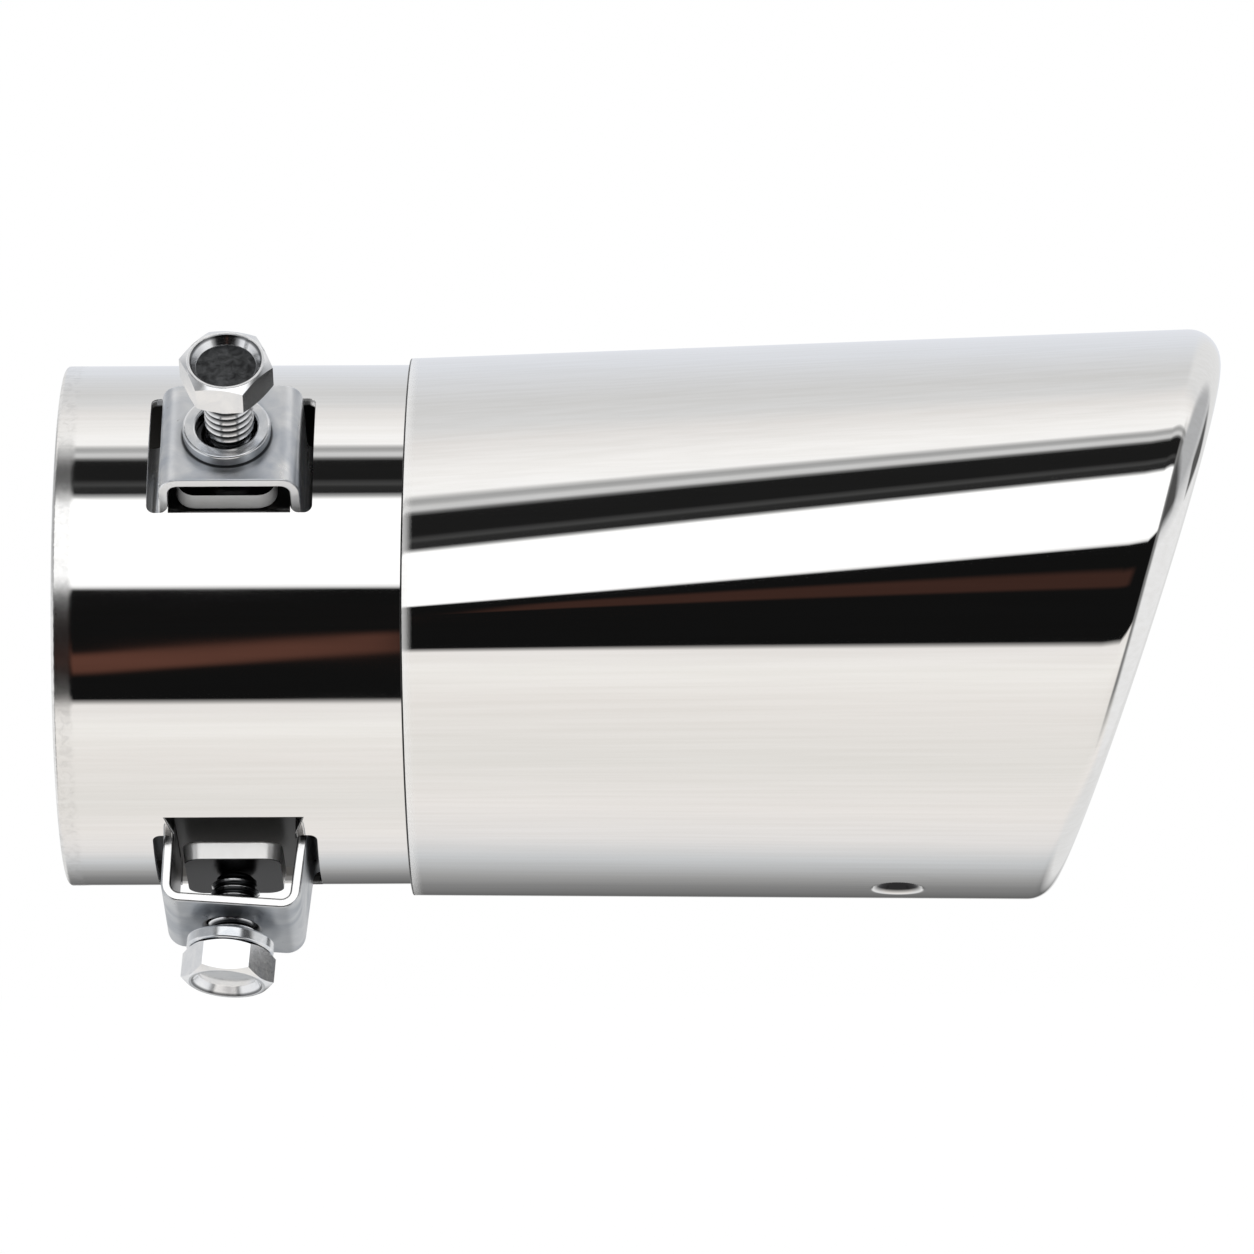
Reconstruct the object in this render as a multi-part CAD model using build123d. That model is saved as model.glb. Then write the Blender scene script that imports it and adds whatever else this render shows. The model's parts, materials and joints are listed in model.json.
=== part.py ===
"""Exhaust tip: round clamp-on neck, oval slash-cut sleeve and two screw clamps.

Millimetres. The origin is the centre of the inlet face, +X runs along the neck to the outlet, +Z is up.
"""
import math
import os

from build123d import *

# Neck tube
NECK_R = 31.5
NECK_WALL = 1.2
NECK_RIM_R = 0.45
NECK_SHOWN = 41.6
NECK_OVERLAP = 14.0

# Clamp bracket
BRACKET_T = 1.2
BRACKET_HALF = 8.3
BRACKET_BEND_R = 1.7
LEG_DROP = 10.85
LEG_FLARE = 2.0
FOOT_REACH = 2.3
FOOT_CORNER_R = 1.5
COLLAR_WALL = 1.4
COLLAR_DEPTH = 1.2
LEAD_IN_R = 0.7

# Clamp windows: two slots with a strip pressed flat between them
CLAMP_X = 20.95
WINDOW_SPAN = 34.3
UPPER_RAMP_SPAN = 0.0
LOWER_RAMP_SPAN = 6.3
STRIP_SINK = 3.65
SLOT_CORNER_R = 1.0
PRESS_BEND_R = 1.2
WEB_SPREAD = 1.15

# Clamp screw, washer and pressure pad
THREAD_R = 3.0
SHANK_LENGTH = 9.65
TIP_CHAMFER = 0.6
HEAD_FLATS = 9.7
HEAD_HEIGHT = 4.0
HEAD_CHAMFER = 30.0
CROWN_EDGE_R = 0.15
DISH_DEPTH = 1.1
WASHER_T = 1.6
WASHER_EDGE_R = 0.3
PAD_ROUND = 13.5
PAD_T = 2.25
PAD_CORNER_R = 2.4
PAD_EDGE_R = 0.3
PAD_DRAFT = 8.0

# Clearances between the pieces
THREAD_GAP = 0.08
WASHER_GAP = 0.65
REST_GAP = 0.02
FOOT_GAP = 0.1
STRIP_SIDE_GAP = 0.08
PAD_SIDE_GAP = 1.05
PAD_END_GAP = 0.1
SLOT_SIDE_GAP = 1.15
SLOT_END_GAP = 1.5
SEAT_GAP = 0.02

# Where the two clamps stand: angle above the near side, and how each one's loose pieces lie
UPPER_ANGLE = 42.1
LOWER_ANGLE = -69.9
UPPER_STAND = 1.55
UPPER_SCREW_STAND = 2.65
UPPER_HEAD_TURN = -7.6
UPPER_WASHER_SHIFT = -0.35
UPPER_WASHER_DROP = 0.4
LOWER_PAD_LIFT = 2.0
LOWER_TILT = 4.3
LOWER_LEAN = 2.7
PAD_SHIFT = -0.45

# Sleeve sections: half depth, fullness of the oval above and below its widest point, and that point's height
SLEEVE_WALL = 0.8
SLEEVE_SAG = 0.6
INLET_EDGE_R = 0.6
SLEEVE_HALF_DEPTH = 44.0
SMALL_TOP_POWER = 1.665
SMALL_BOTTOM_POWER = 1.69
LARGE_TOP_POWER = 2.3
LARGE_BOTTOM_POWER = 1.86
SMALL_WIDEST_Z = 0.93
LARGE_WIDEST_Z = 5.77
TOP_RISE = 1.85
BOTTOM_FALL = 0.61
SECTION_POINTS = 36

# Slash-cut mouth and its rolled lip
SLASH_X = 129.5
SLASH_ANGLE = 17.7
LIP_R = 3.6
LIP_INNER_R = 2.2
LIP_FLAT = 0.6
HEM_DEPTH = 9.5

# Drain dimple near the lowest line of the sleeve
DRAIN_X = 100.2
DRAIN_TURN = 75.3
DRAIN_R = 3.1
DRAIN_FLOOR_R = 1.6
DRAIN_DEPTH = 1.3
DRAIN_HOLE_R = 1.0

# Sizes that follow from the ones above
NECK_BORE_R = NECK_R - NECK_WALL
NECK_LENGTH = NECK_SHOWN + NECK_OVERLAP
LEG_INNER = BRACKET_HALF - BRACKET_T
LEG_SLOPE = math.tan(math.radians(LEG_FLARE))
LEG_SPREAD = LEG_DROP * LEG_SLOPE
SLOT_OUTER = BRACKET_HALF + LEG_SPREAD + SLOT_SIDE_GAP
SLOT_LENGTH = 2 * NECK_R * math.sin(math.radians(WINDOW_SPAN / 2))
STRIP_R = NECK_R - STRIP_SINK
BRACKET_WIDTH = SLOT_LENGTH - 2 * SLOT_END_GAP
FOOT_HALF = SLOT_OUTER + FOOT_REACH
FOOT_SEAT_R = math.sqrt(NECK_BORE_R ** 2 - (BRACKET_WIDTH / 2) ** 2) - FOOT_GAP
SHANK_R = THREAD_R - THREAD_GAP
CROWN_R = 0.475 * HEAD_FLATS
UNDERSIDE_R = 0.487 * HEAD_FLATS
DISH_R = 0.44 * HEAD_FLATS
DISH_FLOOR_R = 0.376 * HEAD_FLATS
WASHER_HOLE_R = THREAD_R + WASHER_GAP
WASHER_R = 0.54 * HEAD_FLATS
PAD_AXIAL = 2 * (LEG_INNER - PAD_SIDE_GAP)
UPPER_PAD_R = STRIP_R + REST_GAP + PAD_T
LOWER_PAD_R = UPPER_PAD_R + LOWER_PAD_LIFT
TIP_DIP = (SHANK_R - TIP_CHAMFER) * math.sin(math.radians(math.hypot(LOWER_TILT, LOWER_LEAN)))
LOWER_TIP_R = LOWER_PAD_R + REST_GAP + TIP_DIP
UPPER_PLATE_R = UPPER_PAD_R + COLLAR_DEPTH + BRACKET_T + UPPER_STAND
STRIP_HALF = LEG_INNER + (UPPER_PLATE_R - STRIP_R) * LEG_SLOPE - STRIP_SIDE_GAP
STRIP_FLAT = PAD_ROUND / 2 + PAD_END_GAP
FOOT_TILT = FOOT_HALF * math.sin(math.radians(LOWER_TILT))
FOOT_LEAN = BRACKET_WIDTH / 2 * math.sin(math.radians(LOWER_LEAN))
LOWER_PLATE_R = FOOT_SEAT_R - FOOT_TILT - FOOT_LEAN + LEG_DROP
SMALL_TOP = NECK_R + SLEEVE_WALL
SMALL_BOTTOM = SMALL_TOP + SLEEVE_SAG
SLEEVE_END = SLASH_X + 1.5 * NECK_R * math.tan(math.radians(SLASH_ANGLE))
LIP_WIDTH = LIP_R * math.tan(math.radians(90 + SLASH_ANGLE + TOP_RISE) / 2) + LIP_FLAT + LIP_INNER_R


def clamp_plane(angle):
    """Local frame of a clamp: x along the neck, z outward along the clamp's axis."""
    turn = math.radians(angle)
    outward = (0, -math.cos(turn), math.sin(turn))
    return Plane(origin=(CLAMP_X, 0, 0), x_dir=(1, 0, 0), z_dir=outward)


def turned(profile):
    """Solid of revolution about local Z from (radius, height) points."""
    outline = make_face(Polyline(*profile, close=True))
    return revolve(Plane.XZ * outline, Axis.Z)


# Neck tube
def press_tool(ramp_span, grow):
    """Space that the press tool takes out of the wall, grown by the sheet's thickness for the bore side."""
    turn = math.radians(WINDOW_SPAN / 2 + ramp_span)
    bend_y = NECK_R * math.sin(turn)
    bend_r = NECK_R * math.cos(turn)
    flat = SLOT_LENGTH / 2 if ramp_span else STRIP_FLAT
    floor = STRIP_R - grow
    ramp = math.atan2(bend_r - STRIP_R, bend_y - flat)
    reach = 3.0
    top_y = bend_y + reach + grow
    top_r = bend_r + reach * math.tan(ramp) - grow
    line = FilletPolyline(
        (-top_y, top_r),
        (-flat, floor),
        (flat, floor),
        (top_y, top_r),
        radius=PRESS_BEND_R + grow,
    )
    lid = Polyline((top_y, top_r), (top_y, 2 * NECK_R), (-top_y, 2 * NECK_R), (-top_y, top_r))
    side = extrude(Plane.YZ * make_face(line.edges() + lid.edges()), amount=NECK_R, both=True)
    narrow = STRIP_HALF + grow
    wide = narrow
    if ramp_span:
        wide += WEB_SPREAD / (bend_y - flat) * (top_y - flat)
    plan = Polyline(
        (narrow, flat),
        (wide, top_y),
        (-wide, top_y),
        (-narrow, flat),
        (-narrow, -flat),
        (-wide, -top_y),
        (wide, -top_y),
        (narrow, -flat),
        close=True,
    )
    return side & extrude(make_face(plan), amount=2 * NECK_R)


def slot_cutter(side):
    width = SLOT_OUTER - STRIP_HALF
    shape = RectangleRounded(width, SLOT_LENGTH, SLOT_CORNER_R)
    centre = side * (SLOT_OUTER + STRIP_HALF) / 2
    return Pos(centre, 0, STRIP_R - 3 * NECK_WALL) * extrude(shape, amount=NECK_R)


def neck_tube():
    along = Plane.YZ
    body = along * extrude(Circle(NECK_R), amount=NECK_LENGTH)
    body = fillet(body.edges().sort_by(Axis.X)[0], NECK_RIM_R)
    bore = along.offset(-1) * extrude(Circle(NECK_BORE_R), amount=NECK_LENGTH + 2)
    for angle, ramp_span in ((UPPER_ANGLE, UPPER_RAMP_SPAN), (LOWER_ANGLE, LOWER_RAMP_SPAN)):
        frame = clamp_plane(angle)
        body -= frame * press_tool(ramp_span, 0)
        bore -= frame * press_tool(ramp_span, NECK_WALL)
    tube = body - bore
    for angle in (UPPER_ANGLE, LOWER_ANGLE):
        for side in (-1, 1):
            tube -= clamp_plane(angle) * slot_cutter(side)
    return tube


# Outer sleeve
def sleeve_heights(x):
    run = x - NECK_SHOWN
    top = SMALL_TOP + run * math.tan(math.radians(TOP_RISE))
    bottom = -SMALL_BOTTOM - run * math.tan(math.radians(BOTTOM_FALL))
    return top, bottom


def widest_height(x):
    share = (x - NECK_SHOWN) / (SLEEVE_END - NECK_SHOWN)
    return SMALL_WIDEST_Z + share * (LARGE_WIDEST_Z - SMALL_WIDEST_Z)


def sleeve_point(x, turn, inset):
    """Point of the oval at x, in (Y, Z), for a turn about the section from the +Y side."""
    share = (x - NECK_SHOWN) / (SLEEVE_END - NECK_SHOWN)
    widest = widest_height(x)
    top, bottom = sleeve_heights(x)
    across, up = math.cos(turn), math.sin(turn)
    if up > 0:
        power = SMALL_TOP_POWER + share * (LARGE_TOP_POWER - SMALL_TOP_POWER)
        height = top - widest - inset
    else:
        power = SMALL_BOTTOM_POWER + share * (LARGE_BOTTOM_POWER - SMALL_BOTTOM_POWER)
        height = widest - bottom - inset
    y = (SLEEVE_HALF_DEPTH - inset) * math.copysign(abs(across) ** (2 / power), across)
    z = widest + height * math.copysign(abs(up) ** (2 / power), up)
    return y, z


def sleeve_section(x, inset):
    turns = [2 * math.pi * (step + 0.5) / SECTION_POINTS for step in range(SECTION_POINTS)]
    points = [sleeve_point(x, turn, inset) for turn in turns]
    return Plane.YZ.offset(x) * make_face(Spline(*points, periodic=True))


def slash_plane(setback):
    turn = math.radians(SLASH_ANGLE)
    normal = Vector(math.cos(turn), 0, -math.sin(turn))
    return Plane(origin=Vector(SLASH_X, 0, 0) - normal * setback, x_dir=(0, 1, 0), z_dir=normal)


def sleeve_blank(start, inset):
    """Solid oval cut off by the slash plane, with its mouth face left square."""
    full = loft([sleeve_section(start, inset), sleeve_section(SLEEVE_END, inset)], ruled=True)
    return split(full, slash_plane(inset), keep=Keep.BOTTOM)


def roll_lip(solid, setback, outer_r, inner_r):
    """Round the two edge loops that lie in the slash plane: the outline and the mouth."""
    plane = slash_plane(setback)
    rim = max(solid.faces(), key=lambda face: plane.to_local_coords(face.center()).Z)
    solid = fillet(rim.outer_wire().edges(), outer_r)
    rim = max(solid.faces(), key=lambda face: plane.to_local_coords(face.center()).Z)
    return fillet(rim.inner_wires()[0].edges(), inner_r)


def mouth_prism(blank, inset, depth):
    """Plug of the mouth's own outline, moved in from the edge and sunk along the slash normal."""
    plane = slash_plane(0)
    rim = max(blank.faces(), key=lambda face: plane.to_local_coords(face.center()).Z)
    edge = rim.outer_wire().edges()[0]
    points = []
    for step in range(SECTION_POINTS):
        spot = edge.position_at(step / SECTION_POINTS)
        inward = plane.z_dir.cross(edge.tangent_at(step / SECTION_POINTS)).normalized()
        if inward.dot(rim.center() - spot) < 0:
            inward = -inward
        points.append(spot + inward * inset)
    return extrude(make_face(Spline(*points, periodic=True)), amount=depth, dir=-plane.z_dir)


def drain_plane():
    """Frame on the sleeve's outside at the drain, with z pointing out of the sheet."""
    turn = math.radians(180 + DRAIN_TURN)
    here = Vector(DRAIN_X, *sleeve_point(DRAIN_X, turn, 0))
    before = Vector(DRAIN_X, *sleeve_point(DRAIN_X, turn - 0.02, 0))
    after = Vector(DRAIN_X, *sleeve_point(DRAIN_X, turn + 0.02, 0))
    return Plane(origin=here, x_dir=(1, 0, 0), z_dir=(after - before).cross(Vector(1, 0, 0)))


def drain_dimple(grow):
    slope = (DRAIN_R - DRAIN_FLOOR_R) / DRAIN_DEPTH
    floor = -DRAIN_DEPTH - grow
    floor_r = DRAIN_FLOOR_R + grow / 2
    return drain_plane() * turned([(0, floor), (floor_r, floor), (floor_r + slope * (1 - floor), 1), (0, 1)])


def outer_sleeve():
    outer = sleeve_blank(NECK_SHOWN, 0)
    outer = fillet(outer.edges().sort_by(Axis.X)[0], INLET_EDGE_R)
    pocket = mouth_prism(outer, LIP_WIDTH, HEM_DEPTH)
    boss = mouth_prism(outer, LIP_WIDTH - SLEEVE_WALL, HEM_DEPTH)
    outer = roll_lip(outer - pocket, 0, LIP_R, LIP_INNER_R)
    inner = sleeve_blank(NECK_SHOWN, SLEEVE_WALL) - boss
    inner = roll_lip(inner, SLEEVE_WALL, LIP_R - SLEEVE_WALL, LIP_INNER_R - SLEEVE_WALL)
    outer -= drain_dimple(0)
    inner -= drain_dimple(SLEEVE_WALL)
    shell = outer - inner
    shell -= drain_plane() * extrude(Circle(DRAIN_HOLE_R), amount=4 * SLEEVE_WALL, both=True)
    return shell - Plane.YZ * extrude(Circle(NECK_R + SEAT_GAP), amount=NECK_LENGTH + 1)


# Clamp pieces, each drawn about its own axis
def bracket():
    """Channel with the plate's outer face at z = 0 and its feet turned outward below."""
    mid = BRACKET_T / 2
    knee = BRACKET_HALF - mid
    heel = knee + LEG_SPREAD
    foot = -LEG_DROP - mid
    line = FilletPolyline(
        (-FOOT_HALF, foot),
        (-heel, foot),
        (-knee, -mid),
        (knee, -mid),
        (heel, foot),
        (FOOT_HALF, foot),
        radius=BRACKET_BEND_R,
    )
    left = offset(line, amount=mid, side=Side.LEFT, closed=False)
    right = offset(line, amount=mid, side=Side.RIGHT, closed=False)
    tips = []
    for end in (-FOOT_HALF, FOOT_HALF):
        tips.append(Line((end, foot - mid), (end, foot + mid)))
    sheet = make_face(left.edges() + right.edges() + tips)
    body = extrude(Plane.XZ * sheet, amount=BRACKET_WIDTH / 2, both=True)
    corners = [edge for edge in body.edges().filter_by(Axis.Z) if abs(edge.center().X) > FOOT_HALF - 0.01]
    body = fillet(corners, FOOT_CORNER_R)
    collar_r = THREAD_R + COLLAR_WALL
    collar = Pos(0, 0, -BRACKET_T - COLLAR_DEPTH) * extrude(Circle(collar_r), amount=COLLAR_DEPTH + mid)
    body += collar
    body -= Pos(0, 0, -2 * LEG_DROP) * extrude(Circle(THREAD_R), amount=3 * LEG_DROP)
    rim = body.edges().filter_by(GeomType.CIRCLE).sort_by(Axis.Z)[-1]
    return fillet(rim, LEAD_IN_R)


def screw():
    """Hex screw with a dished head, its tip at z = 0."""
    end = SHANK_LENGTH + HEAD_HEIGHT
    stem = turned([
        (0, 0),
        (SHANK_R - TIP_CHAMFER, 0),
        (SHANK_R, TIP_CHAMFER),
        (SHANK_R, SHANK_LENGTH + HEAD_HEIGHT / 4),
        (0, SHANK_LENGTH + HEAD_HEIGHT / 4),
    ])
    hexagon = RegularPolygon(HEAD_FLATS / 2, 6, major_radius=False)
    head = Pos(0, 0, SHANK_LENGTH) * extrude(hexagon, amount=HEAD_HEIGHT)
    slope = math.tan(math.radians(HEAD_CHAMFER))
    head &= turned([
        (0, SHANK_LENGTH),
        (UNDERSIDE_R, SHANK_LENGTH),
        (HEAD_FLATS, SHANK_LENGTH + (HEAD_FLATS - UNDERSIDE_R) * slope),
        (HEAD_FLATS, end - (HEAD_FLATS - CROWN_R) * slope),
        (CROWN_R, end),
        (0, end),
    ])
    head -= turned([
        (0, end - DISH_DEPTH),
        (DISH_FLOOR_R, end - DISH_DEPTH),
        (DISH_R, end),
        (DISH_R, end + 1),
        (0, end + 1),
    ])
    rim = head.edges().filter_by(GeomType.CIRCLE).group_by(Axis.Z)[-1]
    head = fillet(rim, CROWN_EDGE_R)
    return stem + head


def washer():
    ring = extrude(Circle(WASHER_R) - Circle(WASHER_HOLE_R), amount=WASHER_T)
    return fillet(ring.edges(), WASHER_EDGE_R)


def pad():
    """Pressure plate with its outer face at z = 0."""
    outline = RectangleRounded(PAD_AXIAL, PAD_ROUND, PAD_CORNER_R)
    plate = Pos(0, 0, -PAD_T) * extrude(outline, amount=PAD_T, taper=PAD_DRAFT)
    for face in (plate.faces().sort_by(Axis.Z)[-1], plate.faces().sort_by(Axis.Z)[0]):
        plate = fillet(face.edges(), PAD_EDGE_R)
    return plate


def clamp_place(angle, tilt, lean):
    """Frame of a clamp's loose pieces, tilted and leaning about the level of the wall."""
    hang = Pos(0, 0, NECK_BORE_R) * Rot(-lean, -tilt, 0) * Pos(0, 0, -NECK_BORE_R)
    return clamp_plane(angle).location * hang


def export_clamp(name, angle, place, plate_r, pad_r, tip_r, head_turn, washer_r, washer_shift, washer_drop):
    pieces = {
        "bracket": place * Pos(0, 0, plate_r) * bracket(),
        "pad": clamp_plane(angle).location * Pos(PAD_SHIFT, 0, pad_r) * pad(),
        "bolt": place * Pos(0, 0, tip_r) * Rot(0, 0, head_turn) * screw(),
        "washer": place * Pos(washer_shift, -washer_drop, washer_r) * washer(),
    }
    for piece, shape in pieces.items():
        export_step(shape, f"parts/{name}_{piece}.step")


os.makedirs("parts", exist_ok=True)
export_step(neck_tube(), "parts/neck_tube.step")
export_step(outer_sleeve(), "parts/outer_sleeve.step")

# The upper washer lies on its bracket and has slid down against the screw
export_clamp(
    "upper",
    UPPER_ANGLE,
    clamp_place(UPPER_ANGLE, 0, 0),
    plate_r=UPPER_PLATE_R,
    pad_r=UPPER_PAD_R,
    tip_r=UPPER_PAD_R + UPPER_SCREW_STAND,
    head_turn=UPPER_HEAD_TURN,
    washer_r=UPPER_PLATE_R + REST_GAP,
    washer_shift=UPPER_WASHER_SHIFT,
    washer_drop=UPPER_WASHER_DROP,
)

# The lower washer hangs on the head of its tilted screw, whose tip bears on the level pad
export_clamp(
    "lower",
    LOWER_ANGLE,
    clamp_place(LOWER_ANGLE, LOWER_TILT, LOWER_LEAN),
    plate_r=LOWER_PLATE_R,
    pad_r=LOWER_PAD_R,
    tip_r=LOWER_TIP_R,
    head_turn=0,
    washer_r=LOWER_TIP_R + SHANK_LENGTH - WASHER_T - REST_GAP,
    washer_shift=0,
    washer_drop=0,
)
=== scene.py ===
"""Looks of the exhaust tip: mirror-polished steel, zinc-plated clamps and a plain studio."""
import json
import math

import bmesh
import bpy
from mathutils import Matrix, Vector


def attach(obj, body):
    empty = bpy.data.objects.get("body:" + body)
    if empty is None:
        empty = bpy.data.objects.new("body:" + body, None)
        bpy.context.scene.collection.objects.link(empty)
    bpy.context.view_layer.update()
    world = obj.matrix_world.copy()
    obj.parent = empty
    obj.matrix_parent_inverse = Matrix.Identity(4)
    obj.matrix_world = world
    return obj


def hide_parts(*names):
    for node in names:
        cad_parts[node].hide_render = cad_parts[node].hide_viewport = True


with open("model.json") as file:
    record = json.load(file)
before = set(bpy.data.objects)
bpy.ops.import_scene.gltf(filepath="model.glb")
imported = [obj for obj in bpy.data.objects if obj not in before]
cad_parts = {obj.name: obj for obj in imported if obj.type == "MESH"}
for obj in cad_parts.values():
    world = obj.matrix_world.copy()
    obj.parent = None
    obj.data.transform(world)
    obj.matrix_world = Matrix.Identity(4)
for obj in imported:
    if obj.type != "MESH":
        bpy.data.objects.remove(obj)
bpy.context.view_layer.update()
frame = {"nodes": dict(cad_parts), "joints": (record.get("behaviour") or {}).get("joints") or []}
nodes = frame["nodes"]
joints = {joint["name"]: joint for joint in frame["joints"]}

MM = 0.001

# Sizes that the looks share with the solids, in millimetres
NECK_R = 31.5
SLEEVE_START = 41.6
SLEEVE_WALL = 0.8
INLET_EDGE, INLET_RING = 0.22, 0.5
SMALL_TOP, SMALL_BOTTOM = 32.3, 32.9
TOP_RISE, BOTTOM_FALL = math.radians(1.85), math.radians(0.61)
HALF_DEPTH = 44.0
SMALL_POWERS, LARGE_POWERS = (1.665, 1.69), (2.3, 1.86)
SMALL_WIDEST, LARGE_WIDEST = 0.93, 5.77
SLASH_X, SLASH_TURN = 129.5, math.radians(17.7)
SLASH_NORMAL = Vector((math.cos(SLASH_TURN), 0.0, -math.sin(SLASH_TURN)))
SLEEVE_END = SLASH_X + 1.5 * NECK_R * math.tan(SLASH_TURN)
LIP_R, LIP_INNER_R, LIP_FLAT, HEM_DEPTH = 3.6, 2.2, 0.6, 9.5
LIP_WIDTH = LIP_R * math.tan((math.pi / 2 + SLASH_TURN + TOP_RISE) / 2) + LIP_FLAT + LIP_INNER_R
DRAIN_X, DRAIN_TURN = 100.2, math.radians(180 + 75.3)
DRAIN_R, DRAIN_FLOOR_R, DRAIN_DEPTH, DRAIN_HOLE_R = 3.1, 1.6, 1.3, 1.0
HEAD_HEIGHT, DISH_DEPTH, DISH_FLOOR_R, DISH_EDGE_R = 4.0, 1.1, 3.45, 0.2
THREAD_MAJOR_R, THREAD_MINOR_R, THREAD_PITCH = 2.93, 2.42, 1.0
CLAMP_X, UPPER_ANGLE, LOWER_ANGLE = 20.95, 42.1, -69.9
AXIS_LEVEL = 35.0
UPPER_PLATE, LOWER_PLATE = 34.07, 38.76
UPPER_PAD, LOWER_PAD = 30.12, 32.12
WASHER_R, UPPER_WASHER_SHIFT, UPPER_WASHER_DROP = 5.24, -0.35, 0.4
LEG_INSIDE, PLATE_INSIDE = 7.7, 1.0

# Sizes that only the looks use, in millimetres
DRAIN_REACH, DRAIN_BLEND = 6.0, 0.3
THREAD_START, TIP_CHAMFER = 0.35, 0.45
PLATE_ROUNDING = 0.28
MERGE = 0.002

# Where the neck's scuffed end, painted shade and painted highlights change, in millimetres along it or out from
# its axis
NECK_RIM, NECK_END = (0.8, 1.2), (2.0, 2.7)
PRESSED_R, RAMP_R, LIT_R = (31.30, 31.44), (28.5, 31.4), (28.9, 29.3)
GLINT_R, BORE_R = (31.05, 31.2), (30.35, 30.6)

# Where the other pieces' finish and painted shade change, in millimetres
INLET_FADE, DRAIN_SHADE = (0.2, 1.5), (2.6, 3.2)
HOLE_SHADE, THREAD_SHADE = (3.3, 3.7), (2.55, 2.85)
DISH_RING_INNER, DISH_RING_OUTER = (4.00, 4.12), (4.24, 4.32)

# How finely the round pieces are divided
SLEEVE_SEGMENTS = 288
WALL_STEPS = 40
LIP_STEPS = 12
FOLD_STEPS = 8
THREAD_SEGMENTS = 40
DISH_STEPS = 3
DRAIN_CUTS = 9

# Faces larger than this, in square millimetres, are flat sheet or a screw head's flats
FLAT_AREA = 12.0

# Edges sharper than these, in degrees, are rounded on the brackets or keep their crease in the light
ROUNDED_ANGLE, CLAMP_CREASE, SLEEVE_CREASE = 50.0, 40.0, 35.0

# Nearly black painted shade, in the drain, the brackets' holes and under the upper washer
SHADE_BLACK = (0.03, 0.03, 0.032)


# Node helpers
def new_node(tree, kind, **values):
    made = tree.nodes.new(kind)
    for name, value in values.items():
        setattr(made, name, value)
    return made


def feed(tree, socket, value):
    if isinstance(value, bpy.types.NodeSocket):
        tree.links.new(value, socket)
    elif isinstance(value, tuple) and socket.type == "RGBA":
        socket.default_value = (*value, 1.0)
    else:
        socket.default_value = value


def math_node(tree, operation, first, second=None):
    made = new_node(tree, "ShaderNodeMath", operation=operation)
    feed(tree, made.inputs[0], first)
    if second is not None:
        feed(tree, made.inputs[1], second)
    return made.outputs[0]


def map_range(tree, value, low, high, to_low=0.0, to_high=1.0, smooth=False):
    made = new_node(tree, "ShaderNodeMapRange", interpolation_type="SMOOTHSTEP" if smooth else "LINEAR")
    ends = {"Value": value, "From Min": low, "From Max": high, "To Min": to_low, "To Max": to_high}
    for name, number in ends.items():
        feed(tree, made.inputs[name], number)
    return made.outputs["Result"]


def span_mask(tree, value, span, to_low=0.0, to_high=1.0, smooth=False):
    """Go from low to high while a length goes over a span in millimetres."""
    return map_range(tree, value, span[0] * MM, span[1] * MM, to_low, to_high, smooth)


def overlap(tree, *masks):
    """Where every one of the masks is set."""
    shared = masks[0]
    for mask in masks[1:]:
        shared = math_node(tree, "MULTIPLY", shared, mask)
    return shared


def mix_colour(tree, factor, first, second):
    made = new_node(tree, "ShaderNodeMix", data_type="RGBA")
    for socket, value in ((made.inputs[0], factor), (made.inputs[6], first), (made.inputs[7], second)):
        feed(tree, socket, value)
    return made.outputs[2]


def mix_value(tree, factor, first, second):
    made = new_node(tree, "ShaderNodeMix", data_type="FLOAT")
    for socket, value in ((made.inputs[0], factor), (made.inputs[2], first), (made.inputs[3], second)):
        feed(tree, socket, value)
    return made.outputs[0]


def ramp(tree, value, stops):
    made = new_node(tree, "ShaderNodeValToRGB")
    elements = made.color_ramp.elements
    while len(elements) < len(stops):
        elements.new(1.0)
    for element, (position, colour) in zip(elements, stops):
        element.position = position
        element.color = (*colour, 1.0)
    feed(tree, made.inputs[0], value)
    return made.outputs[0]


def along_axis(tree, place, point, axis):
    """Distance of a place from a point, measured along an axis, in metres."""
    away = new_node(tree, "ShaderNodeVectorMath", operation="SUBTRACT")
    feed(tree, away.inputs[0], place)
    away.inputs[1].default_value = point
    dot = new_node(tree, "ShaderNodeVectorMath", operation="DOT_PRODUCT")
    feed(tree, dot.inputs[0], away.outputs[0])
    dot.inputs[1].default_value = axis
    return dot.outputs["Value"]


def axis_distance(tree, place, point, axis):
    """Distance of a place from an axis through a point, in metres."""
    away = new_node(tree, "ShaderNodeVectorMath", operation="SUBTRACT")
    feed(tree, away.inputs[0], place)
    away.inputs[1].default_value = point
    turned = new_node(tree, "ShaderNodeVectorMath", operation="CROSS_PRODUCT")
    feed(tree, turned.inputs[0], away.outputs[0])
    turned.inputs[1].default_value = axis
    length = new_node(tree, "ShaderNodeVectorMath", operation="LENGTH")
    feed(tree, length.inputs[0], turned.outputs[0])
    return length.outputs["Value"]


def pipe_radius(tree, split):
    """Distance from the tube's own axis, in metres."""
    square_y = math_node(tree, "MULTIPLY", split.outputs["Y"], split.outputs["Y"])
    square_z = math_node(tree, "MULTIPLY", split.outputs["Z"], split.outputs["Z"])
    return math_node(tree, "SQRT", math_node(tree, "ADD", square_y, square_z))


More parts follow.
